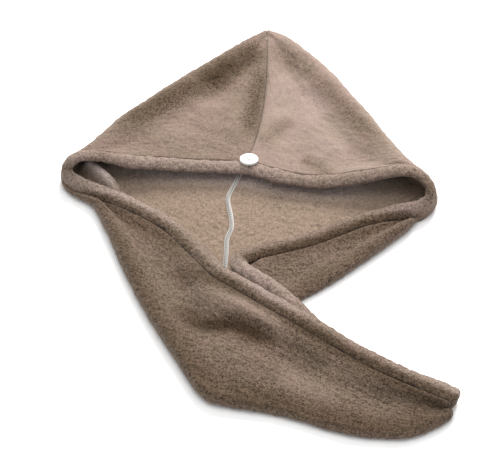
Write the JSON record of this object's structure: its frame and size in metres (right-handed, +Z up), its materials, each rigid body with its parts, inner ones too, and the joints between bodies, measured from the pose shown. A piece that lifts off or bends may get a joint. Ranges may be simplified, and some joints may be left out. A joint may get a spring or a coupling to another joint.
{
  "type": "hair turban towel",
  "caption": "Taupe coral-fleece hair turban towel lying flat: open hood with plump rolled rim, crown seam, white four-hole nape button and folded tapering tail.",
  "frame": {"origin": "on the surface the towel lies on, under the middle of its box", "axes": "+X to the viewer's right, +Y from the viewer to the hood's point along the towel's greatest length, +Z up from the surface"},
  "size_m": [0.3852, 0.5594, 0.0353],
  "materials": {
    "fleece": "short curly coral-fleece pile, matt with a soft sheen",
    "hem_fleece": "the same fleece rolled into a plump hem",
    "overlock": "off-white overlock stitching over a narrow seam allowance",
    "button": "polished white resin",
    "thread": "white spun polyester thread"
  },
  "bodies": {
    "root": {"left_panel": "fleece", "right_panel": "fleece", "left_rim_hem": "hem_fleece", "right_rim_hem": "hem_fleece", "crown_seam_ridge": "overlock", "button": "button", "button_thread": "thread"}
  },
  "joints": []
}
